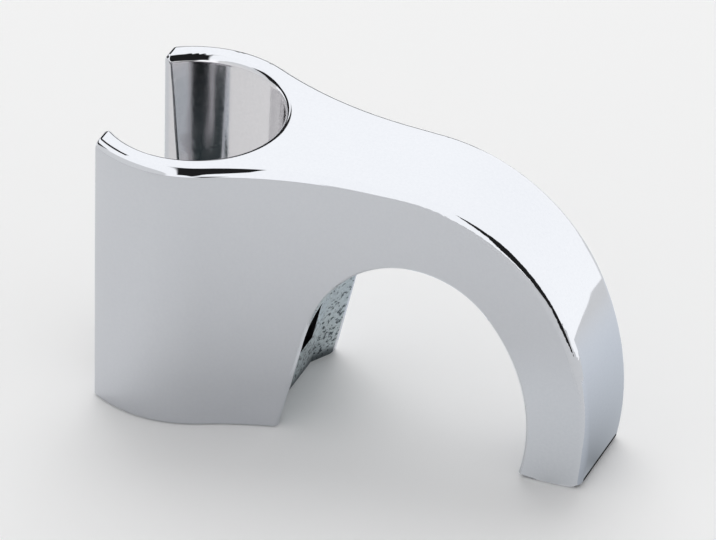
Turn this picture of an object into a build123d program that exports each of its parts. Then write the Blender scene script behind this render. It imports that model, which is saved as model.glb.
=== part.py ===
from build123d import *
from math import acos, cos, degrees, radians, sin, sqrt, tan
import os

# Hand shower holder: one plated casting, a split tapered socket with an arched hook.
# Millimetres and degrees. The origin is on the socket's axis at the standing plane,
# X points along the arm to the hook, and Z is up.

# Socket with a tapered bore
socket_height = 40.5
socket_outer_radius = 15.6
rim_wall = 3.5
bore_half_angle = 2.5

# Mouth in the socket's side: how much narrower than the bore's foot it is on each side,
# and the flat on each lip at the rim
mouth_step = 0.93
lip_land = 1.0

# Arm seen from above: the socket's circle runs through hollow flanks into a narrowing tail
tip_half_width = 6.95
tail_taper = 2.8
flank_radius = 51.5

# Arch under the arm, from the socket's foot over the crown to the tip
foot_reach = 1.1
wall_slant = 13.2
entry_radius = 19.6
entry_sweep = 32.0
arm_depth = 11.5
crown_radius = 13.2
crown_sweep = 95.0
hook_inner_radius = 26.3

# Outer line of the arm and hook
shoulder_radius = 26.0
shoulder_sweep = 64.0
back_radius = 39.0
tip_thickness = 8.65
tip_rise = 0.4

# Unpolished dish in the arch's wall, and the cored slot in its middle
dish_depth = 1.9
dish_land = 1.0
dish_slope_width = 3.4
dish_below_crown = 3.0
slot_width = 5.0
slot_bottom = 6.5
slot_below_crown = 5.0
slot_wall = 2.4

# Rounding of edges, and the bevel on the lower ones
outer_round = 1.2
bore_round = 1.0
lip_round = 0.6
lower_bevel = 0.3

# Length by which cutting shapes run past the part, and the slack in comparing sizes
overrun = 10.0
tolerance = 0.01


def bore_radius(height):
    return socket_outer_radius - rim_wall - (socket_height - height) * tan(radians(bore_half_angle))


def sweep_down_to(start, heading, radius, height):
    """Angle that a right-hand arc turns through on its way down to a height."""
    centre_height = start.Y - radius * cos(radians(heading))
    return heading + degrees(acos((height - centre_height) / radius))


def runs_across(edge):
    return edge.geom_type == GeomType.LINE and abs(edge.tangent_at(0.5).Y) > 1 - tolerance


def upright_block(end_x, width):
    """Block through the whole height, from a given X back past the socket's open side."""
    reach = socket_outer_radius + overrun
    height = socket_height + 2 * overrun
    block = Box(reach, width, height, align=(Align.MAX, Align.CENTER, Align.MIN))
    return Pos(end_x, 0, -overrun) * block


# Inner line of the arch in the plane of the arm, with height as Y
crown_height = socket_height - arm_depth
wall_heading = 90 - wall_slant
crown_heading = wall_heading - entry_sweep
entry_rise = entry_radius * (cos(radians(crown_heading)) - cos(radians(wall_heading)))
crown_rise = crown_radius * (1 - cos(radians(crown_heading)))
wall_length = (crown_height - entry_rise - crown_rise) / sin(radians(wall_heading))
foot_x = socket_outer_radius + foot_reach
wall = PolarLine((foot_x, 0), wall_length, wall_heading)
entry = JernArc(wall @ 1, wall % 1, entry_radius, -entry_sweep)
crown = JernArc(entry @ 1, entry % 1, crown_radius, -crown_sweep)
crown_x = (entry @ 1).X + crown_radius * sin(radians(crown_heading))
inner_sweep = sweep_down_to(crown @ 1, crown_heading - crown_sweep, hook_inner_radius, tip_rise)
inner_hook = JernArc(crown @ 1, crown % 1, hook_inner_radius, -inner_sweep)

# Outer line, placed so that the hook has its thickness at the tip
tip_x = (inner_hook @ 1).X + tip_thickness
shoulder_drop = shoulder_radius * (1 - cos(radians(shoulder_sweep)))
back_start = Vector(0, socket_height - shoulder_drop)
back_sweep = sweep_down_to(back_start, -shoulder_sweep, back_radius, tip_rise)
back_run = back_radius * (sin(radians(shoulder_sweep + back_sweep)) - sin(radians(shoulder_sweep)))
flat_end_x = tip_x - back_run - shoulder_radius * sin(radians(shoulder_sweep))
flat = Line((-socket_outer_radius - overrun, socket_height), (flat_end_x, socket_height))
shoulder = JernArc(flat @ 1, flat % 1, shoulder_radius, -shoulder_sweep)
back = JernArc(shoulder @ 1, shoulder % 1, back_radius, -back_sweep)
tip = ThreePointArc(back @ 1, (tip_x - tip_thickness / 2, 0), inner_hook @ 1)
ground = Line(wall @ 0, ((flat @ 0).X, 0))
socket_end = Line(ground @ 1, flat @ 0)
side = make_face([flat, shoulder, back, tip, inner_hook, crown, entry, wall, ground, socket_end])

# Outline from above: each flank is an arc that touches the socket's circle and the tail's edge
taper = radians(tail_taper)
tail_along = Vector(cos(taper), -sin(taper))
tail_normal = Vector(sin(taper), cos(taper))
tail_corner = Vector(tip_x, tip_half_width)
flank_track = tail_corner + tail_normal * flank_radius
along = flank_track.dot(tail_along)
centre_span = socket_outer_radius + flank_radius
step_back = along - sqrt(along**2 - flank_track.dot(flank_track) + centre_span**2)
flank_centre = flank_track - tail_along * step_back
flank_start = flank_centre * (socket_outer_radius / centre_span)
flank_end = flank_centre - tail_normal * flank_radius
flank_bulge = ((flank_start + flank_end) * 0.5 - flank_centre).normalized() * flank_radius
tail_end = tail_corner + tail_along * overrun
flank = ThreePointArc(flank_start, flank_centre + flank_bulge, flank_end)
tail = Line(flank_end, tail_end)
round_end = ThreePointArc(flank_start, (-socket_outer_radius, 0), (flank_start.X, -flank_start.Y))
tail_cap = Line(tail_end, (tail_end.X, -tail_end.Y))
plan = make_face([flank, tail, tail_cap, flank.mirror(Plane.XZ), tail.mirror(Plane.XZ), round_end])

# The casting's outer form, with its rim, arm and hook rounded along their upper edges
across = socket_outer_radius + overrun
body = extrude(plan, socket_height) & extrude(Plane.XZ * side, across, both=True)
outer_faces = [
    face
    for face in body.faces()
    if face.normal_at().Z > 0.5
    or (face.geom_type == GeomType.CYLINDER and abs(face.radius - back_radius) < tolerance)
]
rim_edges = [edge for face in outer_faces for edge in face.edges() if not runs_across(edge)]
body = fillet(rim_edges, outer_round)

# Tapered bore with a rounded rim
bore = Cone(
    bore_radius(-overrun),
    bore_radius(socket_height + overrun),
    socket_height + 2 * overrun,
    align=(Align.CENTER, Align.CENTER, Align.MIN),
)
body = body - Pos(0, 0, -overrun) * bore
bore_edges = [
    edge
    for edge in body.edges().filter_by(GeomType.CIRCLE)
    if abs(edge.radius - bore_radius(socket_height)) < tolerance
]
body = fillet(bore_edges, bore_round)

# Mouth: a parallel slot into the bore, with the lips cut off square
mouth_half_width = bore_radius(0) - mouth_step
lip_x = -sqrt(bore_radius(socket_height) ** 2 - mouth_half_width**2) - lip_land
body = body - upright_block(0, 2 * mouth_half_width) - upright_block(lip_x, 2 * across)
lip_edges = [
    edge
    for edge in body.edges()
    if edge.center().X < 0 and edge.length > socket_height - 2 * outer_round
]
body = fillet(lip_edges, lip_round)

# Narrow bevel on the lower edges; the joins across the arch are already smooth
lower_edges = [
    edge
    for face in body.faces()
    if face.normal_at().Z < -0.05
    for edge in face.edges()
    if not (runs_across(edge) and edge.center().Z > tip_rise + tolerance)
]
body = chamfer(lower_edges, lower_bevel)

# Dish in the arch's wall: a flat floor with sloping sides that run out at the rim
foot_half_width = flank_centre.Y - sqrt(flank_radius**2 - (foot_x - flank_centre.X) ** 2)
dish_rim = foot_half_width - dish_land
dish_floor = dish_rim - dish_slope_width
dish_outside = dish_rim + dish_land


def dish_section(y):
    """Outline of the dish at a distance from the middle: a line along the wall, then an arc."""
    depth = dish_depth * (dish_rim - abs(y)) / dish_slope_width
    rise = crown_height - dish_below_crown
    run = crown_x - foot_x + depth
    turn = radians(wall_heading)
    radius = (run * sin(turn) - rise * cos(turn)) / (1 - cos(turn))
    length = (run - radius * sin(turn)) / cos(turn)
    start = Vector(foot_x - depth, 0) - (wall % 0) * overrun
    line = PolarLine(start, length + overrun, wall_heading)
    bend = JernArc(line @ 1, line % 1, radius, -wall_heading)
    drop = Line(bend @ 1, ((bend @ 1).X, start.Y))
    base = Line(drop @ 1, start)
    return Plane.XZ.offset(y) * make_face([line, bend, drop, base])


dish = extrude(dish_section(dish_floor), -2 * dish_floor)
for side_sign in (-1, 1):
    floor_edge = dish_section(side_sign * dish_floor)
    dish += loft([floor_edge, dish_section(side_sign * dish_outside)], ruled=True)

# Cored slot: it keeps the metal between bore and arch even
slot_top = crown_height - slot_below_crown
slot_floor_x = bore_radius(slot_top) + slot_wall
slot = Pos(slot_floor_x, 0, slot_bottom) * Box(
    crown_x - slot_floor_x,
    slot_width,
    slot_top - slot_bottom,
    align=(Align.MIN, Align.CENTER, Align.MIN),
)
body = body - dish - slot

os.makedirs("parts", exist_ok=True)
export_step(body, "parts/holder_body.step")
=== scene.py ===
from math import cos, radians, sin

import bpy
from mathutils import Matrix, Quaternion, Vector

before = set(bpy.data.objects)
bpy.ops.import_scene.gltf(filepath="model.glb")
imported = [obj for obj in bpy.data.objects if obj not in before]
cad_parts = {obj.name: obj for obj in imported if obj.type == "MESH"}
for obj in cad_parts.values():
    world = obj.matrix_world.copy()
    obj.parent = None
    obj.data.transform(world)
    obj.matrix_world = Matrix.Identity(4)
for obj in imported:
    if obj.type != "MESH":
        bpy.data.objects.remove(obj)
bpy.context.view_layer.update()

MM = 0.001
QUARTER_TURN = 90.0
WHITE = (1.0, 1.0, 1.0, 1.0)

# Camera: a long lens, placed by direction and distance from the point it looks at
VIEW_AZIMUTH = 22.5
VIEW_ELEVATION = 34.3
VIEW_ROLL = 1.086
VIEW_DISTANCE = 1471 * MM
VIEW_TARGET = Vector((24.25, -1.0, 21.86)) * MM
LENS = 558.65
SENSOR = 36.0

# Surroundings that the metal mirrors: a white tent, greyer to the front left, with dark openings
TENT_LIGHT = 1.4
GREY_LIGHT = 0.92
GREY_CENTRE = (225.0, 10.0)
GREY_RADIUS = 42.0
OPENING_LIGHT = 0.02
EDGE_SOFTNESS = 0.02

# The opening overhead: two planes bound it, and a low edge that sinks from the front to the right
OPENING_LEFT = Vector((1.0, 0.285, 0.0))
OPENING_LEFT_OFFSET = 0.135
OPENING_RIGHT = Vector((-0.487, -0.731, 0.243))
OPENING_RIGHT_OFFSET = 0.07
OPENING_LOW_FRONT = 0.42
OPENING_LOW_RIGHT = -0.2
OPENING_LOW_TURN = (0.2, 0.6)

# A dark band along a great circle, and slits up to a height, each between two azimuths
BAND_NORMAL = Vector((0.436, 0.501, 0.743))
BAND_HALF_WIDTH = 0.15
BAND_AZIMUTHS = (115.0, 188.0)
SLITS = (((99.0, 117.0), 0.2), ((115.0, 134.0), 0.5))

# Light on the floor: an even surrounding and one large soft lamp behind the part
AMBIENT_LIGHT = 0.66
LAMP_AZIMUTH = 112.0
LAMP_ELEVATION = 56.0
LAMP_DISTANCE = 1.3
LAMP_SIZE = 1.1
LAMP_POWER = 7.0

FLOOR_SIZE = 6.0
FLOOR_COLOUR = (0.92, 0.92, 0.92, 1.0)

# Cards that only the metal sees, in millimetres: first the upright ones
BORE_SHADE = (0.045, 0.068, 0.07, 1.0)
UPRIGHT_CARDS = {
    "flag_right": dict(
        start=Vector((119, -95.5)),
        heading=50.0,
        length=56,
        low=0,
        high=60,
        light=OPENING_LIGHT,
        colour=WHITE,
    ),
    # Painted shade: a dark card that stands in for the shaded floor by the bore's mouth, for the metal to
    # mirror
    "shade_by_mouth": dict(
        start=Vector((-10.5, -5.5)),
        heading=90.0,
        length=8,
        low=0,
        high=11,
        light=1.0,
        colour=BORE_SHADE,
    ),
    "flag_rim": dict(
        start=Vector((-22, 3)),
        heading=90.0,
        length=15,
        low=49,
        high=76,
        light=OPENING_LIGHT,
        colour=WHITE,
    ),
}

# Edges that two lying cards share: by the hook's tip, and where the painted light on the floor behind the
# hook begins
TIP_EDGE = [(58.5, -6), (64, -14), (110, -20)]
LIT_FLOOR_EDGE = [(112, 62), (163, 135), (160, 150)]

# Lying cards of one colour: a bright card over the arm, painted light on the floor behind the hook, and
# painted shade at the hook's tip and under the bore
CARD_LIFT = 0.05
LYING_CARDS = {
    "card_over_arm": dict(
        height=46,
        corners=[
            (13, 12),
            (60, 12),
            (60, -7.5),
            (42, -8.8),
            (51.8, -18.6),
            (60.6, -42),
            (16, -42),
            (11, -20),
            (13, -12.5),
        ],
        light=TENT_LIGHT,
        colour=WHITE,
    ),
    # Painted light: a sheet on the floor behind the hook that glows as bright as the tent, as a brightly
    # lit floor would
    "lit_floor_behind_hook": dict(
        height=CARD_LIFT,
        corners=[*LIT_FLOOR_EDGE, (780, 925), (5900, 7290), (6000, -600), (270, -60)],
        light=TENT_LIGHT,
        colour=WHITE,
    ),
    "shade_at_tip": dict(
        height=2 * CARD_LIFT,
        corners=[(57.5, -6.5), (59.2, -6.5), (59.2, 7), (57.5, 7)],
        light=OPENING_LIGHT,
        colour=WHITE,
    ),
    "shade_in_bore": dict(
        height=CARD_LIFT,
        corners=[
            (-10.5, -5),
            (-3, -5),
            (-3, -10),
            (4, -9),
            (9, -4),
            (9, 4),
            (4, 9),
            (-3, 10),
            (-3, 2.5),
            (-10.5, 2.5),
        ],
        light=1.0,
        colour=BORE_SHADE,
    ),
}

# Lying cards of painted shadow on the floor by the hook's foot and the bore's mouth: they grow paler away
# from a centre, halfway at one distance, and fade out between two
GRADED_CARDS = {
    "painted_shadow_right": dict(
        corners=[*TIP_EDGE, *LIT_FLOOR_EDGE, (150, 230), (-100, 230), (-100, 20), (56, 9), (56, 7)],
        centre=Vector((59, 0, 0)),
        dark=(0.27, 0.29, 0.31, 1.0),
        pale=(1.02, 1.07, 1.14, 1.0),
        halfway=18,
        fade=(35, 130),
    ),
    "painted_shadow_front": dict(
        corners=[(50, -7.4), *TIP_EDGE, (110, -60), (10, -60), (10, -12)],
        centre=Vector((54.5, -7, 0)),
        dark=(0.52, 0.53, 0.535, 1.0),
        pale=(0.9, 0.91, 0.92, 1.0),
        halfway=8,
        fade=(18, 38),
    ),
    "painted_shade_left": dict(
        corners=[(-60, -5), (-12, 0), (-12, 50), (-60, 50)],
        centre=Vector((-29, 20, 0)),
        dark=(0.44, 0.53, 0.56, 1.0),
        pale=(0.5, 0.59, 0.62, 1.0),
        halfway=20,
        fade=(10, 22),
    ),
}

# Regions of the casting, in its own frame
BORE_REACH = 12.4 * MM
BORE_BLEND = 0.4 * MM
WALL_START = 12.9 * MM
WALL_END = 30.0 * MM
SLOT_HALF_WIDTH = 2.6 * MM
SLOT_BOTTOM = 6.5 * MM
SLOT_TOP = 25.0 * MM
SLOT_REACH = 17.2 * MM
DISH_HALF_WIDTH = 9.0 * MM
TOWARD_HOOK = (1, 0, 0)
FLATTENED = (1, 1, 0)
FACING_HOOK = (0.5, 0.7)

# Plating colours: the two tones that each finish runs between, then that of the pits and of the painted
# shade at the dish's foot, and the painted shade that fills the slot
POLISHED = ((0.588, 0.605, 0.642, 1.0), (0.657, 0.672, 0.701, 1.0))
IN_BORE = ((0.66, 0.655, 0.672, 1.0), (0.76, 0.75, 0.768, 1.0))
AS_CAST = ((0.31, 0.36, 0.38, 1.0), (0.65, 0.71, 0.73, 1.0))
PIT_AND_SHADE_COLOUR = (0.07, 0.085, 0.095, 1.0)
SLOT_SHADE = (0.025, 0.025, 0.027, 1.0)

# Plating noise: its scales, the grain's share of the polished tone, and the span of most values
CLOUD_SCALE = 60.0
SMUDGE_SCALE = 220.0
GRAIN_SCALE = 2600.0
GRAIN_DETAIL = 2.0
GRAIN_SHARE = 0.6
NOISE_SPAN = (0.3, 0.7)

# Plating roughness, and the bump of the cast surface
POLISHED_ROUGHNESS = (0.015, 0.04)
BORE_ROUGHNESS = (0.07, 0.13)
CAST_ROUGHNESS = 0.45
BUMP_STRENGTH = 0.6
BUMP_DEPTH = 0.15 * MM

# Pits in the dish, more of them low down, and painted shade in a dark line at its foot
PIT_SCALE = 1700.0
PIT_DETAIL = 3.0
PIT_ROUGHNESS = 0.6
PIT_LEVELS = (0.56, 0.68)
PIT_HEIGHTS = (2.0 * MM, 17.0 * MM)
PIT_GAIN = 0.07
FOOT_HEIGHTS = (0.5 * MM, 1.8 * MM)
FOOT_SHADE = 0.8


class Graph:
    """Short calls for building a node tree."""

    # Places of a Mix node's factor, first, second and result for each kind of data
    MIX_SOCKETS = {"FLOAT": (0, 2, 3, 0), "RGBA": (0, 6, 7, 2)}

    def __init__(self, tree):
        self.tree = tree
        tree.nodes.clear()

    def node(self, kind, **settings):
        made = self.tree.nodes.new(kind)
        for name, value in settings.items():
            setattr(made, name, value)
        return made

    def put(self, socket, value):
        """Links a socket to the given output, or sets it to the given value."""
        if isinstance(value, bpy.types.NodeSocket):
            self.tree.links.new(value, socket)
        else:
            socket.default_value = value

    def fill(self, made, values):
        for socket, value in zip(made.inputs, values):
            self.put(socket, value)
        return made.outputs[0]

    def math(self, operation, *values):
        return self.fill(self.node("ShaderNodeMath", operation=operation), values)

    def all_of(self, first, *others):
        for other in others:
            first = self.math("MULTIPLY", first, other)
        return first

    def any_of(self, first, *others):
        for other in others:
            first = self.math("MAXIMUM", first, other)
        return first

    def above(self, value, limit):
        return self.math("GREATER_THAN", value, limit)

    def below(self, value, limit):
        return self.math("LESS_THAN", value, limit)

    def vector(self, operation, *values):
        return self.fill(self.node("ShaderNodeVectorMath", operation=operation), values)

    def dot(self, first, second):
        made = self.node("ShaderNodeVectorMath", operation="DOT_PRODUCT")
        self.fill(made, (first, second))
        return made.outputs["Value"]

    def length(self, vector):
        made = self.node("ShaderNodeVectorMath", operation="LENGTH")
        self.put(made.inputs[0], vector)
        return made.outputs["Value"]

    def split(self, vector):
        made = self.node("ShaderNodeSeparateXYZ")
        self.put(made.inputs[0], vector)
        return made.outputs

    def smooth(self, value, low, high, out_low=0.0, out_high=1.0):
        made = self.node("ShaderNodeMapRange", interpolation_type="SMOOTHSTEP")
        return self.fill(made, (value, low, high, out_low, out_high))

    def mix(self, kind, *values):
        made = self.node("ShaderNodeMix", data_type=kind)
        *places, result = self.MIX_SOCKETS[kind]
        for place, value in zip(places, values):
            self.put(made.inputs[place], value)
        return made.outputs[result]

    def blend(self, factor, first, second):
        return self.mix("FLOAT", factor, first, second)

    def colours(self, factor, first, second):
        return self.mix("RGBA", factor, first, second)

    def noise(self, place, scale, detail=3.0, roughness=0.55):
        made = self.node("ShaderNodeTexNoise")
        self.put(made.inputs["Vector"], place)
        self.put(made.inputs["Scale"], scale)
        self.put(made.inputs["Detail"], detail)
        self.put(made.inputs["Roughness"], roughness)
        return made.outputs[0]


def toward(azimuth, elevation):
    """Unit vector towards a direction in degrees."""
    flat = cos(radians(elevation))
    return Vector((cos(radians(azimuth)) * flat, sin(radians(azimuth)) * flat, sin(radians(elevation))))


def make_camera():
    azimuth, elevation = radians(VIEW_AZIMUTH), radians(VIEW_ELEVATION)
    back = Vector((sin(azimuth) * cos(elevation), -cos(azimuth) * cos(elevation), sin(elevation)))
    data = bpy.data.cameras.new("camera")
    data.lens = LENS
    data.sensor_width = SENSOR
    camera = bpy.data.objects.new("camera", data)
    bpy.context.scene.collection.objects.link(camera)
    camera.location = VIEW_TARGET + back * VIEW_DISTANCE
    camera.rotation_mode = "QUATERNION"
    roll = Quaternion((0, 0, 1), radians(VIEW_ROLL))
    camera.rotation_quaternion = (-back).to_track_quat("-Z", "Y") @ roll
    bpy.context.scene.camera = camera


def make_world():
    world = bpy.data.worlds.new("tent")
    world.use_nodes = True
    bpy.context.scene.world = world
    g = Graph(world.node_tree)
    direction = g.node("ShaderNodeTexCoord").outputs["Generated"]
    x, _, z = g.split(direction)

    def past(value, edge=0.0):
        return g.smooth(value, edge - EDGE_SOFTNESS, edge + EDGE_SOFTNESS)

    def between(azimuths):
        first, last = azimuths
        return g.all_of(
            past(g.dot(direction, toward(first + QUARTER_TURN, 0))),
            past(g.dot(direction, toward(last - QUARTER_TURN, 0))),
        )

    left = past(g.dot(direction, OPENING_LEFT), -OPENING_LEFT_OFFSET)
    right = past(g.dot(direction, OPENING_RIGHT), -OPENING_RIGHT_OFFSET)
    low = g.smooth(x, *OPENING_LOW_TURN, OPENING_LOW_FRONT, OPENING_LOW_RIGHT)
    dark = g.all_of(left, right, past(g.math("SUBTRACT", z, low)))
    off_band = g.math("ABSOLUTE", g.dot(direction, BAND_NORMAL))
    band = g.all_of(between(BAND_AZIMUTHS), past(g.math("SUBTRACT", BAND_HALF_WIDTH, off_band)))
    dark = g.any_of(dark, band)
    for azimuths, top in SLITS:
        dark = g.any_of(dark, g.all_of(between(azimuths), past(g.math("SUBTRACT", top, z))))
    grey = past(g.dot(direction, toward(*GREY_CENTRE)), cos(radians(GREY_RADIUS)))
    tent = g.blend(dark, g.blend(grey, TENT_LIGHT, GREY_LIGHT), OPENING_LIGHT)

    # The camera and the metal see the tent, and the floor gets an even light
    ray = g.node("ShaderNodeLightPath").outputs
    seen = g.any_of(ray["Is Camera Ray"], ray["Is Glossy Ray"], ray["Is Transmission Ray"])
    shine = g.node("ShaderNodeBackground")
    g.put(shine.inputs["Color"], WHITE)
    g.put(shine.inputs["Strength"], g.blend(seen, AMBIENT_LIGHT, tent))
    out = g.node("ShaderNodeOutputWorld")
    g.put(out.inputs["Surface"], shine.outputs[0])


def make_lamp():
    data = bpy.data.lights.new("soft_lamp", "AREA")
    data.size = LAMP_SIZE
    data.energy = LAMP_POWER
    lamp = bpy.data.objects.new("soft_lamp", data)
    bpy.context.scene.collection.objects.link(lamp)
    away = toward(LAMP_AZIMUTH, LAMP_ELEVATION)
    lamp.location = away * LAMP_DISTANCE
    lamp.rotation_mode = "QUATERNION"
    lamp.rotation_quaternion = away.to_track_quat("Z", "Y")
    lamp.visible_camera = False
    lamp.visible_glossy = False


def plane_object(name, corners):
    mesh = bpy.data.meshes.new(name)
    mesh.from_pydata([tuple(corner) for corner in corners], [], [range(len(corners))])
    made = bpy.data.objects.new(name, mesh)
    bpy.context.scene.collection.objects.link(made)
    return made


def make_floor():
    half = FLOOR_SIZE / 2
    floor = plane_object("floor", [(-half, -half, 0), (half, -half, 0), (half, half, 0), (-half, half, 0)])
    material = bpy.data.materials.new("floor")
    material.use_nodes = True
    g = Graph(material.node_tree)
    matt = g.node("ShaderNodeBsdfDiffuse")
    g.put(matt.inputs["Color"], FLOOR_COLOUR)
    out = g.node("ShaderNodeOutputMaterial")
    g.put(out.inputs["Surface"], matt.outputs[0])
    floor.data.materials.append(material)


def make_card(name, corners, light, colour):
    """Card that only the metal sees, with a glowing material whose nodes come back."""
    card = plane_object(name, [Vector(corner) * MM for corner in corners])
    card.visible_camera = False
    card.visible_diffuse = False
    card.visible_shadow = False
    material = bpy.data.materials.new(name)
    material.use_nodes = True
    g = Graph(material.node_tree)
    shine = g.node("ShaderNodeEmission")
    g.put(shine.inputs["Color"], colour)
    g.put(shine.inputs["Strength"], light)
    out = g.node("ShaderNodeOutputMaterial")
    g.put(out.inputs["Surface"], shine.outputs[0])
    card.data.materials.append(material)
    return g, shine, out


def make_upright(name, start, heading, length, low, high, light, colour):
    end = start + toward(heading, 0).xy * length
    make_card(name, [(*start, low), (*end, low), (*end, high), (*start, high)], light, colour)


def make_lying(name, height, corners, light, colour):
    make_card(name, [(*corner, height) for corner in corners], light, colour)


# Painted shadow: a card on the floor whose colour runs from the shadow's dark to pale with distance, for
# the metal to mirror
def make_graded(name, corners, centre, dark, pale, halfway, fade):
    lifted = [(*corner, CARD_LIFT) for corner in corners]
    g, shine, out = make_card(name, lifted, light=1.0, colour=pale)
    place = g.node("ShaderNodeTexCoord").outputs["Object"]
    distance = g.length(g.vector("SUBTRACT", place, centre * MM))
    share = g.math("DIVIDE", distance, g.math("ADD", distance, halfway * MM))
    g.put(shine.inputs["Color"], g.colours(share, dark, pale))
    clear = g.node("ShaderNodeBsdfTransparent")
    fading = g.node("ShaderNodeMixShader")
    near, far = fade
    g.fill(fading, (g.smooth(distance, near * MM, far * MM), shine.outputs[0], clear.outputs[0]))
    g.put(out.inputs["Surface"], fading.outputs[0])


def make_plating():
    """Chrome plating: polished outside, duller in the bore, as cast in the dish and slot, with painted
    shade filling the slot and along the dish's foot.
    """
    material = bpy.data.materials.new("plated_casting")
    material.use_nodes = True
    g = Graph(material.node_tree)
    place = g.node("ShaderNodeTexCoord").outputs["Object"]
    normal = g.node("ShaderNodeNewGeometry").outputs["True Normal"]
    x, y, z = g.split(place)

    # The dish in the arch's wall faces the hook, and the slot lies behind it in the middle
    off_middle = g.math("ABSOLUTE", y)
    near_wall = g.all_of(g.above(x, WALL_START), g.below(x, WALL_END))
    faces_hook = g.smooth(g.dot(normal, TOWARD_HOOK), *FACING_HOOK)
    in_dish = g.all_of(faces_hook, g.below(off_middle, DISH_HALF_WIDTH))
    in_middle = g.below(off_middle, SLOT_HALF_WIDTH)
    in_height = g.all_of(g.above(z, SLOT_BOTTOM), g.below(z, SLOT_TOP))
    in_slot = g.all_of(near_wall, in_middle, in_height, g.below(x, SLOT_REACH))
    cast = g.any_of(g.all_of(near_wall, in_dish), in_slot)
    across = g.length(g.vector("MULTIPLY", place, FLATTENED))
    bore = g.smooth(across, BORE_REACH - BORE_BLEND, BORE_REACH, 1.0, 0.0)

    # Colour
    cloud = g.noise(place, CLOUD_SCALE)
    grain = g.noise(place, GRAIN_SCALE, GRAIN_DETAIL)
    polished = g.colours(g.blend(GRAIN_SHARE, cloud, grain), *POLISHED)
    plated = g.colours(bore, polished, g.colours(grain, *IN_BORE))
    more_pits = g.smooth(z, *PIT_HEIGHTS, PIT_GAIN, 0.0)
    pit_noise = g.math("ADD", g.noise(place, PIT_SCALE, PIT_DETAIL, PIT_ROUGHNESS), more_pits)
    # Pits, and painted shade that darkens the cast surface near the floor, both in the pits' colour
    pits_and_foot_shade = g.any_of(g.smooth(pit_noise, *PIT_LEVELS), g.smooth(z, *FOOT_HEIGHTS, FOOT_SHADE, 0.0))
    pitted_and_foot_shaded = g.colours(pits_and_foot_shade, g.colours(grain, *AS_CAST), PIT_AND_SHADE_COLOUR)
    # The slot is filled with painted shade, near black
    cast_and_painted_shade = g.colours(in_slot, pitted_and_foot_shaded, SLOT_SHADE)
    shader = g.node("ShaderNodeBsdfPrincipled")
    g.put(shader.inputs["Base Color"], g.colours(cast, plated, cast_and_painted_shade))
    g.put(shader.inputs["Metallic"], 1.0)

    # Roughness and bump
    outside = g.smooth(g.noise(place, SMUDGE_SCALE), *NOISE_SPAN, *POLISHED_ROUGHNESS)
    inside = g.smooth(grain, *NOISE_SPAN, *BORE_ROUGHNESS)
    g.put(shader.inputs["Roughness"], g.blend(cast, g.blend(bore, outside, inside), CAST_ROUGHNESS))
    bump = g.node("ShaderNodeBump")
    g.put(bump.inputs["Strength"], g.math("MULTIPLY", cast, BUMP_STRENGTH))
    g.put(bump.inputs["Distance"], BUMP_DEPTH)
    g.put(bump.inputs["Height"], grain)
    g.put(shader.inputs["Normal"], bump.outputs[0])
    out = g.node("ShaderNodeOutputMaterial")
    g.put(out.inputs["Surface"], shader.outputs[0])
    return material


make_camera()
make_world()
make_lamp()
make_floor()
for name, card in UPRIGHT_CARDS.items():
    make_upright(name, **card)
for name, card in LYING_CARDS.items():
    make_lying(name, **card)
for name, card in GRADED_CARDS.items():
    make_graded(name, **card)
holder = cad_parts["holder_body"]
holder.material_slots[0].material = make_plating()

bpy.context.scene.view_settings.view_transform = "Standard"
